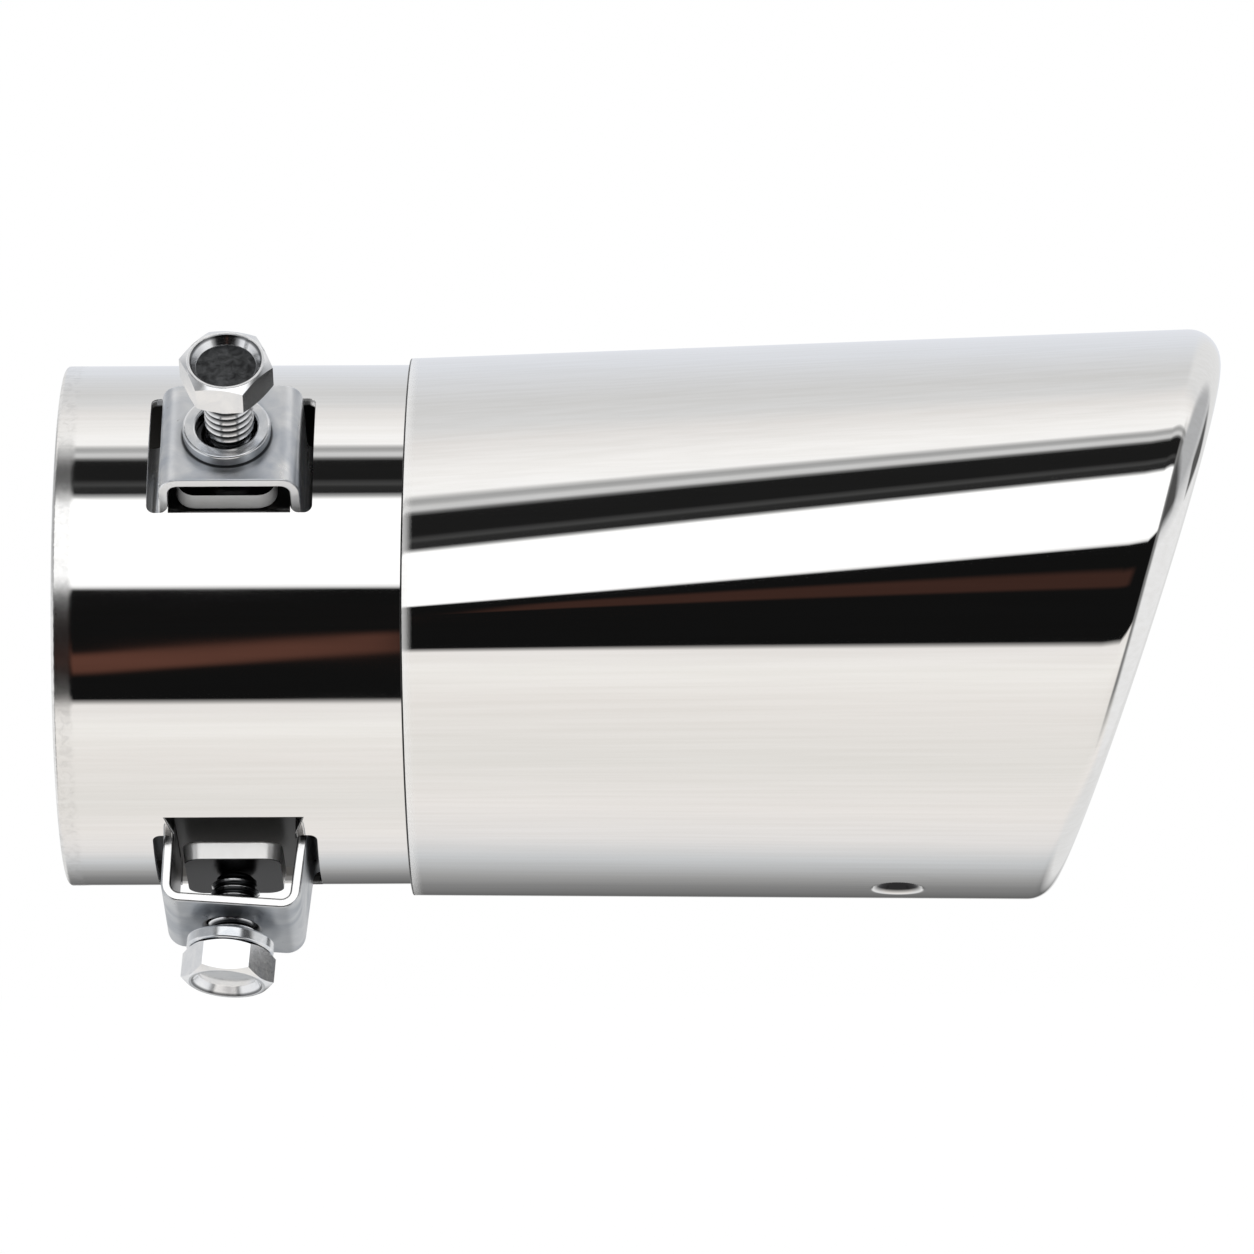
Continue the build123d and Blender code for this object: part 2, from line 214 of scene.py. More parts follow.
# Shared finishes
def polish_lines_group():
    """Fine lines that polishing leaves along the tube, as a mask from 0 to 1."""
    group = bpy.data.node_groups.new("polish_lines", "ShaderNodeTree")
    group.interface.new_socket("Place", in_out="INPUT", socket_type="NodeSocketVector")
    group.interface.new_socket("Fineness", in_out="INPUT", socket_type="NodeSocketFloat")
    group.interface.new_socket("Lines", in_out="OUTPUT", socket_type="NodeSocketFloat")
    group.interface.new_socket("Smudge", in_out="OUTPUT", socket_type="NodeSocketFloat")
    inside = new_node(group, "NodeGroupInput")
    stretch = new_node(group, "ShaderNodeVectorMath", operation="MULTIPLY")
    group.links.new(inside.outputs["Place"], stretch.inputs[0])
    stretch.inputs[1].default_value = (0.02, 1.0, 1.0)
    lines = new_node(group, "ShaderNodeTexNoise", noise_dimensions="3D")
    group.links.new(stretch.outputs[0], lines.inputs["Vector"])
    group.links.new(inside.outputs["Fineness"], lines.inputs["Scale"])
    lines.inputs["Detail"].default_value = 3.0
    smudge = new_node(group, "ShaderNodeTexNoise", noise_dimensions="3D")
    squash = new_node(group, "ShaderNodeVectorMath", operation="MULTIPLY")
    group.links.new(inside.outputs["Place"], squash.inputs[0])
    squash.inputs[1].default_value = (0.25, 1.0, 1.0)
    group.links.new(squash.outputs[0], smudge.inputs["Vector"])
    smudge.inputs["Scale"].default_value = 130.0
    smudge.inputs["Detail"].default_value = 2.0
    outside = new_node(group, "NodeGroupOutput")
    group.links.new(map_range(group, lines.outputs["Fac"], 0.35, 0.65), outside.inputs["Lines"])
    group.links.new(map_range(group, smudge.outputs["Fac"], 0.42, 0.68), outside.inputs["Smudge"])
    return group


def plating_group():
    """Clouding and grain of zinc plating, each as a mask from 0 to 1."""
    group = bpy.data.node_groups.new("zinc_plating", "ShaderNodeTree")
    group.interface.new_socket("Place", in_out="INPUT", socket_type="NodeSocketVector")
    group.interface.new_socket("Cloud Scale", in_out="INPUT", socket_type="NodeSocketFloat")
    group.interface.new_socket("Cloud", in_out="OUTPUT", socket_type="NodeSocketFloat")
    group.interface.new_socket("Grain", in_out="OUTPUT", socket_type="NodeSocketFloat")
    group.interface.new_socket("Specks", in_out="OUTPUT", socket_type="NodeSocketFloat")
    inside = new_node(group, "NodeGroupInput")
    outside = new_node(group, "NodeGroupOutput")
    cloud = new_node(group, "ShaderNodeTexNoise", noise_dimensions="3D")
    group.links.new(inside.outputs["Place"], cloud.inputs["Vector"])
    group.links.new(inside.outputs["Cloud Scale"], cloud.inputs["Scale"])
    cloud.inputs["Detail"].default_value = 4.0
    cloud.inputs["Distortion"].default_value = 0.6
    grain = new_node(group, "ShaderNodeTexNoise", noise_dimensions="3D")
    group.links.new(inside.outputs["Place"], grain.inputs["Vector"])
    grain.inputs["Scale"].default_value = 2600.0
    grain.inputs["Detail"].default_value = 2.0
    specks = new_node(group, "ShaderNodeTexNoise", noise_dimensions="3D")
    group.links.new(inside.outputs["Place"], specks.inputs["Vector"])
    specks.inputs["Scale"].default_value = 900.0
    group.links.new(map_range(group, cloud.outputs["Fac"], 0.32, 0.68), outside.inputs["Cloud"])
    group.links.new(grain.outputs["Fac"], outside.inputs["Grain"])
    group.links.new(map_range(group, specks.outputs["Fac"], 0.72, 0.80), outside.inputs["Specks"])
    return group


polish_lines = polish_lines_group()
zinc_plating = plating_group()


def metal(name):
    material = bpy.data.materials.new(name)
    material.use_nodes = True
    tree = material.node_tree
    shader = tree.nodes["Principled BSDF"]
    shader.inputs["Metallic"].default_value = 1.0
    where = new_node(tree, "ShaderNodeTexCoord")
    return material, tree, shader, where.outputs["Object"]


def placed(tree, group, place, **values):
    made = new_node(tree, "ShaderNodeGroup", node_tree=group)
    feed(tree, made.inputs["Place"], place)
    for name, value in values.items():
        made.inputs[name.replace("_", " ")].default_value = value
    return made


def add_bump(tree, shader, height, strength, distance):
    bump = new_node(tree, "ShaderNodeBump")
    bump.inputs["Strength"].default_value = strength
    bump.inputs["Distance"].default_value = distance
    feed(tree, bump.inputs["Height"], height)
    feed(tree, shader.inputs["Normal"], bump.outputs[0])


def polished_steel(name, line_share):
    """Mirror steel with faint polishing lines; returns the sockets that a piece's own marks can mix into."""
    material, tree, shader, place = metal(name)
    marks = placed(tree, polish_lines, place, Fineness=1500.0)
    colour = mix_colour(tree, marks.outputs["Lines"], (0.885, 0.88, 0.868), (0.925, 0.922, 0.915))
    roughness = map_range(tree, marks.outputs["Smudge"], 0.0, 1.0, 0.03, 0.03 + line_share)
    return material, tree, shader, place, colour, roughness


def neck_steel():
    """Polished neck with a scuffed end, painted shade in its pressings and bore, and a painted highlight along
    the pressings' rim.
    """
    material, tree, shader, place, colour, roughness = polished_steel("neck_polish", 0.035)
    split = new_node(tree, "ShaderNodeSeparateXYZ")
    feed(tree, split.inputs[0], place)
    radius = pipe_radius(tree, split)
    end_band = span_mask(tree, split.outputs["X"], NECK_END, 1.0, 0.0)
    roughness = math_node(tree, "ADD", roughness, math_node(tree, "MULTIPLY", end_band, 0.16))
    scuffs = placed(tree, zinc_plating, place, Cloud_Scale=1100.0)
    scuffed = overlap(tree, end_band, map_range(tree, scuffs.outputs["Cloud"], 0.4, 1.0, 0.0, 0.2))
    colour = mix_colour(tree, scuffed, colour, (0.45, 0.45, 0.45))
    away_from_rim = span_mask(tree, split.outputs["X"], NECK_RIM)
    pressed = overlap(tree, span_mask(tree, radius, PRESSED_R, 1.0, 0.0), away_from_rim)
    # Painted shade down the pressings' ramps, darkest deepest in.
    ramp_painted_shade = span_mask(tree, radius, RAMP_R, smooth=True)
    shade = mix_colour(tree, ramp_painted_shade, (0.045, 0.044, 0.043), (0.26, 0.26, 0.26))
    # On the upper window the ramp keeps a pale steel colour near its top, where light falls, in place of the
    # painted shade.
    above = span_mask(tree, split.outputs["Z"], (-1.0, 1.0))
    lit = overlap(tree, above, span_mask(tree, radius, LIT_R))
    shade = mix_colour(tree, lit, shade, (0.86, 0.86, 0.85))
    # Painted highlight along the pressings' rim.
    glint = span_mask(tree, radius, GLINT_R)
    shade = mix_colour(tree, glint, shade, (0.70, 0.70, 0.70))
    # Painted shade in the bore seen through the pressings.
    bore = span_mask(tree, radius, BORE_R, 1.0, 0.0)
    shade = mix_colour(tree, bore, shade, (0.10, 0.098, 0.095))
    colour = mix_colour(tree, pressed, colour, shade)
    roughness = mix_value(tree, pressed, roughness, 0.34)
    # The painted highlight is also made less metallic, so that the soft white fill lights it.
    painted_glint_matte = overlap(tree, glint, pressed, 0.8)
    feed(tree, shader.inputs["Metallic"], math_node(tree, "SUBTRACT", 1.0, painted_glint_matte))
    feed(tree, shader.inputs["Base Color"], colour)
    feed(tree, shader.inputs["Roughness"], roughness)
    return material


def sleeve_steel():
    """Polished sleeve, duller along its inlet edge and with painted shade in its drain."""
    material, tree, shader, place, colour, roughness = polished_steel("sleeve_polish", 0.02)
    centre, outward = drain_place()
    away = new_node(tree, "ShaderNodeVectorMath", operation="DISTANCE")
    feed(tree, away.inputs[0], place)
    away.inputs[1].default_value = (centre - outward * DRAIN_DEPTH) * MM
    # Painted shade in the drain's dimple and hole.
    drain_shade = span_mask(tree, away.outputs["Value"], DRAIN_SHADE, 1.0, 0.0)
    colour = mix_colour(tree, drain_shade, colour, SHADE_BLACK)
    split = new_node(tree, "ShaderNodeSeparateXYZ")
    feed(tree, split.inputs[0], place)
    from_inlet = math_node(tree, "SUBTRACT", split.outputs["X"], SLEEVE_START * MM)
    feed(tree, shader.inputs["Metallic"], span_mask(tree, from_inlet, INLET_FADE, 0.45, 1.0, smooth=True))
    feed(tree, shader.inputs["Base Color"], colour)
    feed(tree, shader.inputs["Roughness"], roughness)
    return material


def shaded_steel(name, dark, pale):
    """Rough steel whose colour is darkened as painted shade, for the sleeve's inside and its cut edges."""
    material, tree, shader, place = metal(name)
    marks = placed(tree, polish_lines, place, Fineness=700.0)
    colour = mix_colour(tree, marks.outputs["Lines"], dark, pale)
    feed(tree, shader.inputs["Base Color"], colour)
    feed(tree, shader.inputs["Roughness"], map_range(tree, marks.outputs["Smudge"], 0.0, 1.0, 0.34, 0.46))
    return material


def clamp_axes(joint_name):
    """Point and outward axis of a clamp, with the two directions across it."""
    joint = joints[joint_name]
    axis = Vector(joint["axis"]).normalized()
    sideways = (Vector((1.0, 0.0, 0.0)) - axis * axis.x).normalized()
    return Vector(joint["pos_m"]), axis, sideways, axis.cross(sideways)


def zinc_plate(name, joint_name, plate_level, tones, edge_metal, washer):
    """Satin zinc on a bracket, with brighter sheared edges, and with painted shade inside it, in its hole and
    round its washer.

    The washer is given by its shift and drop on the plate, in millimetres, and by how dark the painted contact
    shadow under it is.
    """
    washer_shift, washer_drop, contact_shadow_darkness = washer
    material, tree, shader, place = metal(name)
    point, axis, sideways, tangent = clamp_axes(joint_name)
    marks = placed(tree, zinc_plating, place, Cloud_Scale=230.0)
    colour = mix_colour(tree, marks.outputs["Cloud"], *tones)
    colour = mix_colour(tree, marks.outputs["Specks"], colour, (0.30, 0.30, 0.31))
    washer_centre = point + (sideways * washer_shift - tangent * washer_drop) * MM
    from_washer = axis_distance(tree, place, washer_centre, axis)
    # Painted shadow round the washer's seat, with a painted contact shadow line at its edge.
    washer_shadow = span_mask(tree, from_washer, (WASHER_R, WASHER_R + 1.2), 0.45, 0.0, smooth=True)
    colour = mix_colour(tree, washer_shadow, colour, (0.22, 0.24, 0.27))
    contact_shadow = span_mask(tree, from_washer, (WASHER_R + 0.1, WASHER_R + 0.3), contact_shadow_darkness, 0.0)
    colour = mix_colour(tree, contact_shadow, colour, SHADE_BLACK)
    roughness = map_range(tree, marks.outputs["Cloud"], 0.0, 1.0, 0.36, 0.27)
    facing = new_node(tree, "ShaderNodeVectorMath", operation="DOT_PRODUCT")
    where = next(node for node in tree.nodes if node.bl_idname == "ShaderNodeTexCoord")
    feed(tree, facing.inputs[0], where.outputs["Normal"])
    facing.inputs[1].default_value = tangent
    sheared = map_range(tree, math_node(tree, "ABSOLUTE", facing.outputs["Value"]), 0.80, 0.92)
    colour = mix_colour(tree, sheared, colour, (0.90, 0.90, 0.90))
    roughness = mix_value(tree, sheared, roughness, 0.20)
    feed(tree, shader.inputs["Metallic"], mix_value(tree, sheared, 1.0, edge_metal))
    level = along_axis(tree, place, point, axis)
    across = math_node(tree, "ABSOLUTE", along_axis(tree, place, point, sideways))
    # Painted shade in the bolt hole.
    hole = span_mask(tree, axis_distance(tree, place, point, axis), HOLE_SHADE, 1.0, 0.0)
    colour = mix_colour(tree, hole, colour, SHADE_BLACK)
    # Painted shade under the plate and inside the legs.
    ceiling = plate_level - AXIS_LEVEL - PLATE_INSIDE
    under = span_mask(tree, level, (ceiling - 0.1, ceiling), 1.0, 0.0)
    inside = span_mask(tree, across, (LEG_INSIDE - 0.1, LEG_INSIDE), 1.0, 0.0)
    inside_shade = overlap(tree, under, inside, math_node(tree, "SUBTRACT", 1.0, sheared))
    colour = mix_colour(tree, inside_shade, colour, (0.10, 0.102, 0.105))
    feed(tree, shader.inputs["Base Color"], colour)
    feed(tree, shader.inputs["Roughness"], roughness)
    add_bump(tree, shader, marks.outputs["Grain"], 0.12, 0.00003)
    return material


def bright_zinc(name, dark, pale, roughness, dished_joint=None):
    """Bright zinc; on a screw, with a painted ring of shade just inside the crown of its dished head."""
    material, tree, shader, place = metal(name)
    marks = placed(tree, zinc_plating, place, Cloud_Scale=420.0)
    colour = mix_colour(tree, marks.outputs["Cloud"], dark, pale)
    if dished_joint:
        point, axis = clamp_axes(dished_joint)[:2]
        distance = axis_distance(tree, place, point, axis)
        # Painted shade ring just inside the crown.
        inner = span_mask(tree, distance, DISH_RING_INNER, 0.0, 0.85)
        outer = span_mask(tree, distance, DISH_RING_OUTER, 1.0, 0.0)
        colour = mix_colour(tree, overlap(tree, inner, outer), colour, (0.08, 0.085, 0.09))
    feed(tree, shader.inputs["Base Color"], colour)
    dulled = map_range(tree, marks.outputs["Grain"], 0.3, 0.7, roughness, roughness + 0.05)
    feed(tree, shader.inputs["Roughness"], dulled)
    return material


def thread_zinc(name, joint_name):
    """Zinc on a thread, with painted shade down in its grooves."""
    material, tree, shader, place = metal(name)
    point, axis = clamp_axes(joint_name)[:2]
    marks = placed(tree, zinc_plating, place, Cloud_Scale=600.0)
    pale = mix_colour(tree, marks.outputs["Cloud"], (0.76, 0.77, 0.79), (0.90, 0.905, 0.91))
    # Painted shade down in the thread's grooves.
    crest = span_mask(tree, axis_distance(tree, place, point, axis), THREAD_SHADE)
    feed(tree, shader.inputs["Base Color"], mix_colour(tree, crest, (0.05, 0.052, 0.055), pale))
    feed(tree, shader.inputs["Roughness"], map_range(tree, crest, 0.0, 1.0, 0.35, 0.12))
    return material


def shaded_dish_floor():
    """Rough floor of the dish in the upper screw's head, darkened as painted shade."""
    material, tree, shader, place = metal("dish_floor_shade")
    marks = placed(tree, zinc_plating, place, Cloud_Scale=900.0)
    colour = mix_colour(tree, marks.outputs["Cloud"], (0.035, 0.036, 0.038), (0.13, 0.135, 0.14))
    feed(tree, shader.inputs["Base Color"], colour)
    feed(tree, shader.inputs["Roughness"], map_range(tree, marks.outputs["Grain"], 0.3, 0.7, 0.42, 0.58))
    add_bump(tree, shader, marks.outputs["Cloud"], 0.5, 0.0001)
    return material


def pad_steel(name, angle, face_level, edge_metal):
    """Pressure pad that lies square to the neck: plated pale edge, outer face painted near black as shade."""
    material, tree, shader, place = metal(name)
    point = Vector((CLAMP_X * MM, 0.0, 0.0))
    axis = Vector((0.0, -math.cos(math.radians(angle)), math.sin(math.radians(angle))))
    marks = placed(tree, zinc_plating, place, Cloud_Scale=350.0)
    colour = mix_colour(tree, marks.outputs["Cloud"], (0.90, 0.895, 0.88), (0.95, 0.95, 0.94))
    level = along_axis(tree, place, point, axis)
    # Painted shade: the pad's outer face is nearly black.
    face = span_mask(tree, level, (face_level - 0.12, face_level - 0.04))
    colour = mix_colour(tree, face, colour, (0.055, 0.055, 0.057))
    feed(tree, shader.inputs["Base Color"], colour)
    feed(tree, shader.inputs["Metallic"], mix_value(tree, face, edge_metal, 1.0))
    feed(tree, shader.inputs["Roughness"], mix_value(tree, face, 0.30, 0.25))
    return material


# Mesh helpers
def finished(name, bm, materials, body, replaced):
    """Turn a bmesh that is already in place into a piece that rides a body and stands for a solid."""
    mesh = bpy.data.meshes.new(name)
    bm.to_mesh(mesh)
    bm.free()
    for material in materials:
        mesh.materials.append(material)
    piece = bpy.data.objects.new(name, mesh)
    bpy.context.scene.collection.objects.link(piece)
    for face in mesh.polygons:
        face.use_smooth = True
    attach(piece, body)
    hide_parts(replaced)
    return piece


def settle(piece):
    """Apply a piece's modifiers."""
    view = bpy.context.evaluated_depsgraph_get()
    mesh = bpy.data.meshes.new_from_object(piece.evaluated_get(view))
    piece.modifiers.clear()
    piece.data = mesh


def flat_faced(piece, sharp_angle):
    """Keep large faces flat in the light, and leave the curving to the rounded edges between them."""
    piece.data.set_sharp_from_angle(angle=math.radians(sharp_angle))
    weigh = piece.modifiers.new("flat_faces", "WEIGHTED_NORMAL")
    weigh.mode = "FACE_AREA"
    weigh.keep_sharp = True
    settle(piece)
    mesh = piece.data
    normals = [Vector(corner.vector) for corner in mesh.corner_normals]
    for face in mesh.polygons:
        if face.area > FLAT_AREA * MM * MM:
            for corner in face.loop_indices:
                normals[corner] = face.normal.copy()
    mesh.normals_split_custom_set(normals)


def merged_copy(node):
    """A copy of a solid's own mesh, with its doubles merged."""
    bm = bmesh.new()
    bm.from_mesh(node.data)
    bmesh.ops.remove_doubles(bm, verts=bm.verts, dist=MERGE * MM)
    bmesh.ops.recalc_face_normals(bm, faces=bm.faces)
    return bm


def make_whole(bm):
    """Make each flat face whole again."""
    bmesh.ops.dissolve_limit(bm, angle_limit=math.radians(1.0), verts=bm.verts, edges=bm.edges)
    bmesh.ops.recalc_face_normals(bm, faces=bm.faces)


def soften(bm, angle, width):
    """Round the edges that are sharper than an angle, by a width in millimetres."""
    corners = [edge for edge in bm.edges if edge.is_manifold and edge.calc_face_angle() > math.radians(angle)]
    bmesh.ops.bevel(
        bm,
        geom=corners,
        offset=width * MM,
        offset_type="OFFSET",
        segments=3,
        profile=0.5,
        affect="EDGES",
        material=-1,
        clamp_overlap=True,
    )
    bmesh.ops.remove_doubles(bm, verts=bm.verts, dist=MERGE * MM)
    bmesh.ops.recalc_face_normals(bm, faces=bm.faces)


def carried_face(bm, face, spots):
    """Carry a face's corners on to new spots, with a band of faces left behind it."""
    carried = bmesh.ops.extrude_discrete_faces(bm, faces=[face])["faces"][0]
    for vert, spot in zip(carried.verts, spots):
        vert.co = spot
    return carried


# Sleeve: straight lines of sheet between two ovals, cut on the slant and rolled in at the lip
def oval_point(x, turn):
    share = (x - SLEEVE_START) / (SLEEVE_END - SLEEVE_START)
    run = x - SLEEVE_START
    widest = SMALL_WIDEST + share * (LARGE_WIDEST - SMALL_WIDEST)
    across, up = math.cos(turn), math.sin(turn)
    half = 0 if up > 0 else 1
    power = SMALL_POWERS[half] + share * (LARGE_POWERS[half] - SMALL_POWERS[half])
    if up > 0:
        height = SMALL_TOP + run * math.tan(TOP_RISE) - widest
    else:
        height = SMALL_BOTTOM + run * math.tan(BOTTOM_FALL) + widest
    y = HALF_DEPTH * math.copysign(abs(across) ** (2 / power), across)
    z = widest + height * math.copysign(abs(up) ** (2 / power), up)
    return Vector((x, y, z))


def slash_meeting(turn):
    """Start of the sheet's straight line at this turn, its direction, and where it meets the slash plane."""
    start = oval_point(SLEEVE_START, turn)
    along = (oval_point(SLEEVE_END, turn) - start).normalized()
    reach = (Vector((SLASH_X, 0.0, 0.0)) - start).dot(SLASH_NORMAL) / along.dot(SLASH_NORMAL)
    return start, along, start + along * reach


def sleeve_profile(turn):
    """Spots from the inlet edge along the outside, round the lip, over its flat and down the hem."""
    start, along, rim = slash_meeting(turn)
    edge = (slash_meeting(turn + 0.004)[2] - slash_meeting(turn - 0.004)[2]).normalized()
    outward = along.cross(edge).normalized()
    if outward.y * rim.y + outward.z * rim.z < 0:
        outward.negate()
    inward = (along * (outward.dot(SLASH_NORMAL) / along.dot(SLASH_NORMAL)) - outward).normalized()
    square = SLASH_NORMAL.cross(edge)
    width = LIP_WIDTH / abs(inward.dot(square))
    bend = along.angle(inward)
    before = rim - along * LIP_R * math.tan(bend / 2)
    drop = (inward - along * inward.dot(along)).normalized()
    spots = [start.lerp(before, step / WALL_STEPS) for step in range(WALL_STEPS + 1)]
    spots.insert(1, start + along * INLET_RING)
    for step in range(1, LIP_STEPS + 1):
        roll = bend * step / LIP_STEPS
        spots.append(before + along * LIP_R * math.sin(roll) + drop * LIP_R * (1 - math.cos(roll)))
    fold = rim + inward * (width - LIP_INNER_R)
    for step in range(FOLD_STEPS + 1):
        roll = math.pi / 2 * step / FOLD_STEPS
        inner = fold + inward * LIP_INNER_R * math.sin(roll)
        spots.append(inner - SLASH_NORMAL * LIP_INNER_R * (1 - math.cos(roll)))
    spots.append(spots[-1] - SLASH_NORMAL * (HEM_DEPTH - LIP_INNER_R))
    return spots


def drain_place():
    """Centre of the drain on the outside of the sheet, and the way out of it."""
    start, along = slash_meeting(DRAIN_TURN)[:2]
    centre = start + along * ((DRAIN_X - start.x) / along.x)
    ahead, behind = oval_point(DRAIN_X, DRAIN_TURN + 0.02), oval_point(DRAIN_X, DRAIN_TURN - 0.02)
    outward = along.cross(ahead - behind).normalized()
    if outward.z > 0:
        outward.negate()
    return centre, outward


def press_drain(bm):
    """Dimple with a small round hole, near the lowest line of the sleeve."""
    centre, outward = drain_place()

    def from_centre(spot):
        away = spot - centre
        level = away.dot(outward)
        return (away - outward * level).length, away.length

    near = {face for face in bm.faces if from_centre(face.calc_center_median())[1] < DRAIN_REACH}
    edges = [edge for edge in bm.edges if near.intersection(edge.link_faces)]
    bmesh.ops.subdivide_edges(bm, edges=edges, cuts=DRAIN_CUTS, use_grid_fill=True)
    for vert in bm.verts:
        radius, distance = from_centre(vert.co)
        from_edge = DRAIN_R + DRAIN_BLEND - radius
        if distance < DRAIN_REACH and from_edge > 0:
            share = min(1.0, from_edge / (DRAIN_R - DRAIN_FLOOR_R + 2 * DRAIN_BLEND))
            vert.co -= outward * DRAIN_DEPTH * share * share * (3 - 2 * share)
    hole = []
    for face in bm.faces:
        radius, distance = from_centre(face.calc_center_median())
        if distance < DRAIN_REACH and radius < DRAIN_HOLE_R:
            hole.append(face)
    bmesh.ops.delete(bm, geom=hole, context="FACES")
    for vert in bm.verts:
        radius, distance = from_centre(vert.co)
        if vert.is_boundary and distance < DRAIN_REACH:
            level = (vert.co - centre).dot(outward)
            flat = vert.co - centre - outward * level
            vert.co = centre + outward * level + flat * (DRAIN_HOLE_R / radius)


def ease_inlet(piece):
    """Round the sleeve's outer edge where it meets the neck; the rounded strip takes the near-black painted
    shadow of the cut edge.
    """
    bm = bmesh.new()
    bm.from_mesh(piece.data)
    rim = []
    for edge in bm.edges:
        at_inlet = max(vert.co.x for vert in edge.verts) < (SLEEVE_START + 0.05) * MM
        if at_inlet and {face.material_index for face in edge.link_faces} == {0, 2}:
            rim.append(edge)
    bmesh.ops.bevel(
        bm,
        geom=rim,
        offset=INLET_EDGE * MM,
        offset_type="OFFSET",
        segments=3,
        profile=0.5,
        affect="EDGES",
        material=2,
        clamp_overlap=False,
    )
    bm.to_mesh(piece.data)
    bm.free()


def sleeve_skin(outside, inside, cut_edge):
    """The whole sleeve as one thick sheet, carried ring by ring from its inlet to the end of its hem."""
    turns = [2 * math.pi * (step + 0.5) / SLEEVE_SEGMENTS for step in range(SLEEVE_SEGMENTS)]
    profiles = [sleeve_profile(turn) for turn in turns]
    bm = bmesh.new()
    ring = bmesh.ops.create_circle(bm, segments=SLEEVE_SEGMENTS, radius=1.0)["verts"]
    profile_of = dict(zip(ring, profiles))
    end = bmesh.ops.edgeloop_fill(bm, edges=bm.edges)["faces"][0]
    corners = [profile_of[vert] for vert in end.verts]
    for vert, profile in zip(end.verts, corners):
        vert.co = profile[0]
    for station in range(1, len(corners[0])):
        end = carried_face(bm, end, [profile[station] for profile in corners])
    bmesh.ops.delete(bm, geom=[end], context="FACES_ONLY")
    press_drain(bm)
    bm.normal_update()
    bm.faces.ensure_lookup_table()
    sample = bm.faces[0]
    middle = sample.calc_center_median()
    if sample.normal.y * middle.y + sample.normal.z * middle.z < 0:
        bmesh.ops.reverse_faces(bm, faces=bm.faces)
    bmesh.ops.scale(bm, vec=(MM, MM, MM), verts=bm.verts)
    piece = finished("sleeve_skin", bm, (outside, inside, cut_edge), "tip", "outer_sleeve")
    wall = piece.modifiers.new("wall", "SOLIDIFY")
    wall.thickness = (SLEEVE_WALL - 0.02) * MM
    wall.offset = -1.0
    wall.material_offset = 1
    wall.material_offset_rim = 2
    settle(piece)
    ease_inlet(piece)
    piece.data.set_sharp_from_angle(angle=math.radians(SLEEVE_CREASE))


# Clamp screws: the solid's own head on a rolled thread
def rolled_thread(bm, length):
    """Thread and core about local Z, with the tip at zero."""
    profile = ((0.0, 0), (0.125, 0), (0.4375, 1), (0.5625, 1), (0.875, 0), (1.0, 0))
    depth = THREAD_MAJOR_R - THREAD_MINOR_R
    row = []
    for share, crest in profile:
        row.append(bm.verts.new((THREAD_MINOR_R + crest * depth, 0.0, THREAD_START + share * THREAD_PITCH)))
    edges = [bm.edges.new(pair) for pair in zip(row, row[1:])]
    turns = (length - THREAD_START) / THREAD_PITCH - 1
    steps = round(turns * THREAD_SEGMENTS)
    bmesh.ops.spin(
        bm,
        geom=row + edges,
        cent=(0.0, 0.0, 0.0),
        axis=(0.0, 0.0, 1.0),
        dvec=(0.0, 0.0, THREAD_PITCH / THREAD_SEGMENTS),
        angle=2 * math.pi * steps / THREAD_SEGMENTS,
        steps=steps,
    )
    bmesh.ops.remove_doubles(bm, verts=bm.verts, dist=MERGE)
    for vert in bm.verts:
        radius = math.hypot(vert.co.x, vert.co.y)
        run = (vert.co.z - THREAD_START) / THREAD_PITCH - 0.45
        grown = min(1.0, max(0.0, run / 0.5))
        wanted = THREAD_MINOR_R + (radius - THREAD_MINOR_R) * grown
        vert.co.x *= wanted / radius
        vert.co.y *= wanted / radius
    core_r = THREAD_MINOR_R - 0.01
    spots = ((0.0, 0.0), (core_r - TIP_CHAMFER, 0.0), (core_r, TIP_CHAMFER), (core_r, length))
    line = [bm.verts.new((radius, 0.0, level)) for radius, level in spots]
    edges = [bm.edges.new(pair) for pair in zip(line, line[1:])]
    bmesh.ops.spin(
        bm,
        geom=line + edges,
        cent=(0.0, 0.0, 0.0),
        axis=(0.0, 0.0, 1.0),
        angle=2 * math.pi,
        steps=THREAD_SEGMENTS,
        use_merge=True,
    )
    bmesh.ops.remove_doubles(bm, verts=bm.verts, dist=MERGE)
    bmesh.ops.recalc_face_normals(bm, faces=bm.faces)


def dish_profile(rim_r):
    """Radius and depth of each step, from the crown's inner edge down the wall to the floor."""
    slope = math.atan2(DISH_DEPTH, rim_r - DISH_FLOOR_R)
    steps = []
    for step in range(1, DISH_STEPS + 1):
        roll = slope * step / DISH_STEPS
        steps.append((rim_r - DISH_EDGE_R * math.sin(roll), DISH_EDGE_R * (1 - math.cos(roll))))
    for step in range(DISH_STEPS, -1, -1):
        roll = slope * step / DISH_STEPS
        depth = DISH_DEPTH - DISH_EDGE_R * (1 - math.cos(roll))
        steps.append((DISH_FLOOR_R + DISH_EDGE_R * math.sin(roll), depth))
    return steps


